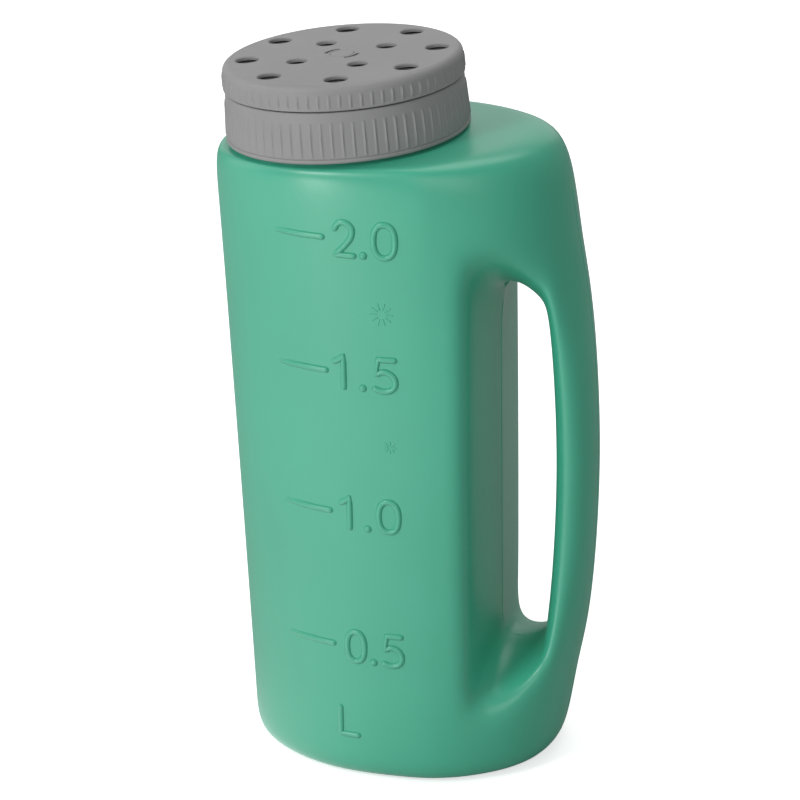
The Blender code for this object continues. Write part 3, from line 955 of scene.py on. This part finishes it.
def opening_spots(tree):
    """The hand opening's edge on the seam plane."""
    b = bottle_sizes()
    middle = Vector((b.pocket_middle + 1.0 * MM, 0.0, 0.0))
    low, high = b.opening_bottom + 10.0 * MM, b.opening_top - 12.0 * MM
    rays = [(blend(low, high, i / 12), math.pi) for i in range(13)]
    rays += [(high, math.radians(a)) for a in (150, 125, 100, 75, 50, 25)]
    rays += [(blend(high, low, i / 12), 0.0) for i in range(13)]
    rays += [(low, math.radians(-a)) for a in (25, 50, 75, 100, 125, 150)]
    spots = []
    for z, turn in rays:
        aim = Vector((math.cos(turn), 0.0, math.sin(turn)))
        spot, normal, _, _ = tree.ray_cast(middle + Vector((0.0, 0.0, z)), aim)
        spots.append(spot - normal * LINE_SINK)
    return spots


class SHAKER_OT_parting_line(bpy.types.Operator):
    """Thin line left where the two halves of the blow mould meet"""

    bl_idname = "shaker.parting_line"
    bl_label = "Parting line"

    def execute(self, context):
        tree = shell_tree()
        outside = outline_spots(tree)
        half = len(outside) // 2
        lines = [add_stroke(outside[:half], LINE_RADIUS), add_stroke(outside[half:], LINE_RADIUS)]
        lines.append(add_stroke(opening_spots(tree), LINE_RADIUS, closed=True))
        line = settle(join(lines), "parting_line")
        shade(line, 60)
        dress(line, material(blown_polyethylene))
        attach(line, "bottle")
        return {"FINISHED"}


# The lid. Its profiles are in millimetres: (radius, distance below the dial's top)

RING_INNER, RING_OUTER = 41.3, 44.1
RING_TOP, RING_BOTTOM = 12.4, 13.4
# One face of the ring: shares of the way across, with how far the face lies below its beads
RING_FACE = (
    (0.0, 0.14),
    (0.06, 0.0),
    (0.28, 0.12),
    (0.36, 0.12),
    (0.5, 0.0),
    (0.64, 0.12),
    (0.72, 0.12),
    (0.94, 0.0),
    (1.0, 0.14),
)


class SHAKER_OT_sealing_ring(bpy.types.Operator):
    """Flat rubber ring between the neck's rim and the cap, with fine beads on each face"""

    bl_idname = "shaker.sealing_ring"
    bl_label = "Sealing ring"

    def execute(self, context):
        across = [(blend(RING_INNER, RING_OUTER, share), deep) for share, deep in RING_FACE]
        profile = [(radius, RING_TOP + deep) for radius, deep in across]
        profile += [(radius, RING_BOTTOM - deep) for radius, deep in reversed(across)]
        shape = lathe(in_metres(profile), ROUND_SEGMENTS, fill="loop")
        ring_piece = settle(shape, "seal_ring", neck_frame())
        soften(ring_piece)
        dress(ring_piece, material(ring_rubber))
        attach(ring_piece, "seal")
        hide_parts("sealing_ring")
        return {"FINISHED"}


CAP_PROFILE = (
    (6.1, 2.7),
    (6.35, 2.3),
    (43.7, 2.3),
    (44.4, 2.6),
    (44.7, 3.3),
    (44.7, 10.2),
    (45.6, 10.2),
    (46.1, 10.35),
    (46.32, 10.8),
    (46.5, 14.1),
    (46.52, 14.5),
    (46.75, 18.5),
    (47.0, 22.5),
    (47.28, 27.1),
    (47.3, 27.4),
    (47.32, 27.75),
    (47.1, 27.9),
    (47.1, 28.1),
    (47.45, 28.25),
    (47.58, 28.7),
    (47.55, 29.4),
    (47.2, 29.8),
    (45.1, 29.8),
    (44.6, 28.9),
    (44.6, 12.1),
    (41.5, 12.1),
    (41.5, 5.0),
    (40.8, 4.3),
    (6.35, 4.3),
    (6.1, 3.9),
)
# The first and the last row of the profile that the grip ribs stand on
CAP_RIBS = (10, 13)
PLATE_TOP, PLATE_BOTTOM = 2.3 * MM, 6.0 * MM
PLATE_WIDER = 1.0 * MM
PLATE_FLARE = 4.0 * MM
DIAL_PROFILE = (
    (4.5, 0.0),
    (4.7, 0.28),
    (4.9, 0.0),
    (43.75, 0.0),
    (44.47, 0.1),
    (45.15, 0.38),
    (45.73, 0.82),
    (46.17, 1.4),
    (46.45, 2.08),
    (46.55, 2.8),
    (46.56, 3.5),
    (46.57, 3.9),
    (46.62, 6.2),
    (46.65, 8.5),
    (46.66, 8.7),
    (46.8, 8.85),
    (46.8, 9.35),
    (46.6, 9.6),
    (45.3, 9.6),
    (45.1, 9.3),
    (45.1, 3.0),
    (44.6, 1.9),
    (43.9, 1.4),
    (8.0, 1.4),
)
DIAL_RIBS = (11, 13)
DIAL_BOTTOM = 4.0 * MM
HOOK = (
    (4.4, 1.0),
    (5.7, 1.0),
    (5.7, 4.8),
    (7.2, 4.9),
    (7.2, 5.5),
    (6.7, 6.1),
    (5.5, 6.8),
    (4.4, 6.8),
)
HOOK_HALF_ANGLE = math.radians(30)
WINDOW = ((5.75, -1.0), (7.25, -1.0), (7.25, 3.0), (5.75, 3.0))
WINDOW_HALF_ANGLE = math.radians(34)


def in_metres(profile):
    return [(radius * MM, down * MM) for radius, down in profile]


class SHAKER_OT_screw_cap(bpy.types.Operator):
    """Ribbed screw cap whose top is the sifter plate under the dial"""

    bl_idname = "shaker.screw_cap"
    bl_label = "Screw cap"

    def execute(self, context):
        lid = lid_sizes()
        profile = in_metres(CAP_PROFILE)
        cap = lathe(profile, lid.ribs * RIB_SPAN, fill="loop")
        raise_ribs(cap, profile, *CAP_RIBS, lid.rib_height)
        outer = lid.outer_hole + PLATE_WIDER
        cut_holes(cap, outer, lid.plate_hole, math.pi / 4, PLATE_TOP, PLATE_BOTTOM, PLATE_FLARE)
        cut(cap, thread(44.95 * MM, 43.4 * MM, 23.5 * MM, 1.25), "UNION")
        settle(cap, "ribbed_cap", neck_frame())
        soften(cap)
        dress(cap, material(moulded_polypropylene))
        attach(cap, "screw_cap")
        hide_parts("screw_cap")
        return {"FINISHED"}


class SHAKER_OT_dial(bpy.types.Operator):
    """Ribbed dial that turns on the cap and opens or closes the sifter plate's holes"""

    bl_idname = "shaker.dial"
    bl_label = "Dial"

    def execute(self, context):
        lid = lid_sizes()
        profile = in_metres(DIAL_PROFILE)
        dial = lathe(profile, lid.ribs * RIB_SPAN)
        raise_ribs(dial, profile, *DIAL_RIBS, lid.rib_height)
        cut_holes(dial, lid.outer_hole, lid.dial_hole, 0.0, 0.0, DIAL_BOTTOM)
        first = lid.hole_turn + math.pi / 8
        sides = (first, first + math.pi)
        cut(dial, join([sector(in_metres(HOOK), side, HOOK_HALF_ANGLE) for side in sides]), "UNION")
        cut(dial, join([sector(in_metres(WINDOW), side, WINDOW_HALF_ANGLE) for side in sides]))
        settle(dial, "ribbed_dial", neck_frame())
        soften(dial)
        dress(dial, material(moulded_polypropylene))
        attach(dial, "dial")
        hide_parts("shaker_dial")
        return {"FINISHED"}


# The stage

AMBIENT = 0.31
# Painted reflection: the way and strength of a floor glow that only glossy rays see, which paints a sheen
# on the bottle's front-left
PAINTED_SHEEN_WAY = (-0.5, -0.87, 0.0)
FLOOR_GLOW = 0.6
PAINTED_SHEEN_GLOW = 1.6
CAMERA_AZIMUTH = math.radians(16.04)
CAMERA_ELEVATION = math.radians(22.57)
CAMERA_ROLL = math.radians(-1.07)
CAMERA_DISTANCE = 1142.4 * MM
CAMERA_LENS = 133.92
CAMERA_TARGET = Vector((33.2, -43.8, 165.5)) * MM
LIGHT_TARGET = (0.02, 0.0, 0.15)
# Name, place, width and height, power in watts and the spot that it faces
SOFTBOXES = (
    ("key", (-0.75, -1.1, 1.1), (0.4, 0.5), 9.3, LIGHT_TARGET),
    ("low", (-0.57, -1.09, 0.145), (0.3, 0.22), 2.6, (0.004, -0.048, 0.25)),
    ("front", (0.7, -1.4, 0.8), (1.2, 1.0), 5.8, LIGHT_TARGET),
    ("side", (-1.2, -0.1, 0.7), (0.9, 1.2), 4.0, LIGHT_TARGET),
    ("rear", (-0.4, 1.3, 0.6), (1.6, 0.8), 2.5, LIGHT_TARGET),
    ("top", (0.1, 0.4, 1.5), (0.8, 1.2), 6.0, LIGHT_TARGET),
)


class SHAKER_OT_stage(bpy.types.Operator):
    """Pale floor, soft studio light and the camera"""

    bl_idname = "shaker.stage"
    bl_label = "Stage"

    def execute(self, context):
        make_floor()
        make_world()
        make_lights()
        make_camera()
        return {"FINISHED"}


def make_camera():
    deselect()
    across = math.cos(CAMERA_ELEVATION)
    right, front = math.sin(CAMERA_AZIMUTH) * across, math.cos(CAMERA_AZIMUTH) * across
    back = Vector((right, -front, math.sin(CAMERA_ELEVATION)))
    bpy.ops.object.camera_add(location=CAMERA_TARGET + back * CAMERA_DISTANCE)
    camera = bpy.context.object
    aim = back.to_track_quat("Z", "Y").to_matrix().to_4x4()
    camera.matrix_world = Matrix.Translation(camera.location) @ aim @ Matrix.Rotation(CAMERA_ROLL, 4, "Z")
    camera.data.lens = CAMERA_LENS
    camera.data.sensor_width = 36.0
    bpy.context.scene.camera = camera


def make_floor():
    """A floor that is shown paler to the camera than it lights the object, and that glows in reflections
    only, most towards the front-left: a painted reflection that lays a sheen on the bottle's front-left.
    """
    deselect()
    bpy.ops.mesh.primitive_plane_add(size=6.0, location=(0.0, 0.0, -0.0002))
    floor = bpy.context.object
    floor.name = "floor"
    finish = Finish("pale_floor")
    tone = finish.spread(finish.noise(3.0), 0.3, 0.7)
    seen = finish.add("ShaderNodeLightPath", output="Is Camera Ray")
    pale = finish.mix(tone, (0.86, 0.86, 0.86, 1.0), (0.88, 0.88, 0.88, 1.0))
    base = finish.mix(seen, (0.45, 0.45, 0.45, 1.0), pale)
    # Painted reflection: a glow seen only by glossy rays, strongest towards the front-left, paints a sheen
    # on the bottle
    way = finish.add("ShaderNodeVectorMath", {"operation": "NORMALIZE"}, {0: finish.place})
    facing = finish.add("ShaderNodeVectorMath", {"operation": "DOT_PRODUCT"}, {0: way, 1: PAINTED_SHEEN_WAY}, "Value")
    share = finish.spread(facing, -0.5, 1.0)
    mirrored = finish.add("ShaderNodeLightPath", output="Is Glossy Ray")
    glow_and_painted_sheen = seen * FLOOR_GLOW + share * share * share * mirrored * PAINTED_SHEEN_GLOW
    dress(floor, finish.set(Base_Color=base, Roughness=0.9, Emission_Color=glow_and_painted_sheen, Emission_Strength=1.0))


def add_softbox(name, spot, size, power, target):
    deselect()
    bpy.ops.object.light_add(type="AREA", location=spot)
    light = bpy.context.object
    light.name = name
    light.data.shape = "RECTANGLE"
    light.data.size, light.data.size_y = size
    light.data.energy = power
    away = Vector(spot) - Vector(target)
    light.rotation_euler = away.to_track_quat("Z", "Y").to_euler()


def make_world():
    """A white that the camera sees at full strength and that lights the object less."""
    world = bpy.data.worlds.new("studio")
    world.use_nodes = True
    nodes = world.node_tree.nodes
    backdrop = nodes.new("ShaderNodeMapRange")
    backdrop.inputs["To Min"].default_value = AMBIENT
    backdrop.inputs["To Max"].default_value = 1.0
    sight = nodes.new("ShaderNodeLightPath")
    world.node_tree.links.new(sight.outputs["Is Camera Ray"], backdrop.inputs["Value"])
    world.node_tree.links.new(backdrop.outputs["Result"], nodes["Background"].inputs["Strength"])
    nodes["Background"].inputs["Color"].default_value = (1.0, 1.0, 1.0, 1.0)
    bpy.context.scene.world = world
    bpy.context.scene.view_settings.view_transform = "Standard"


def make_lights():
    for softbox in SOFTBOXES:
        add_softbox(*softbox)


class SHAKER_PT_pieces(bpy.types.Panel):
    """A button for each piece and for the stage"""

    bl_idname = "SHAKER_PT_pieces"
    bl_label = "Shaker Bottle"
    bl_space_type = "VIEW_3D"
    bl_region_type = "UI"
    bl_category = "Shaker"

    def draw(self, context):
        for operator in OPERATORS:
            self.layout.operator(operator.bl_idname)


GROUPS = {"shaker_bottle": BottleSizes, "shaker_lid": LidSizes, "shaker_colours": Colours}
OPERATORS = (
    SHAKER_OT_bottle,
    SHAKER_OT_marks,
    SHAKER_OT_parting_line,
    SHAKER_OT_sealing_ring,
    SHAKER_OT_screw_cap,
    SHAKER_OT_dial,
    SHAKER_OT_stage,
)
CLASSES = (*GROUPS.values(), *OPERATORS, SHAKER_PT_pieces)


def register():
    for item in CLASSES:
        bpy.utils.register_class(item)
    for name, group in GROUPS.items():
        setattr(bpy.types.Scene, name, PointerProperty(type=group))


def unregister():
    for name in GROUPS:
        delattr(bpy.types.Scene, name)
    for item in reversed(CLASSES):
        bpy.utils.unregister_class(item)


def main():
    register()
    bpy.ops.shaker.bottle()
    bpy.ops.shaker.marks()
    bpy.ops.shaker.parting_line()
    bpy.ops.shaker.sealing_ring()
    bpy.ops.shaker.screw_cap()
    bpy.ops.shaker.dial()
    bpy.ops.shaker.stage()


if __name__ == "__main__":
    main()
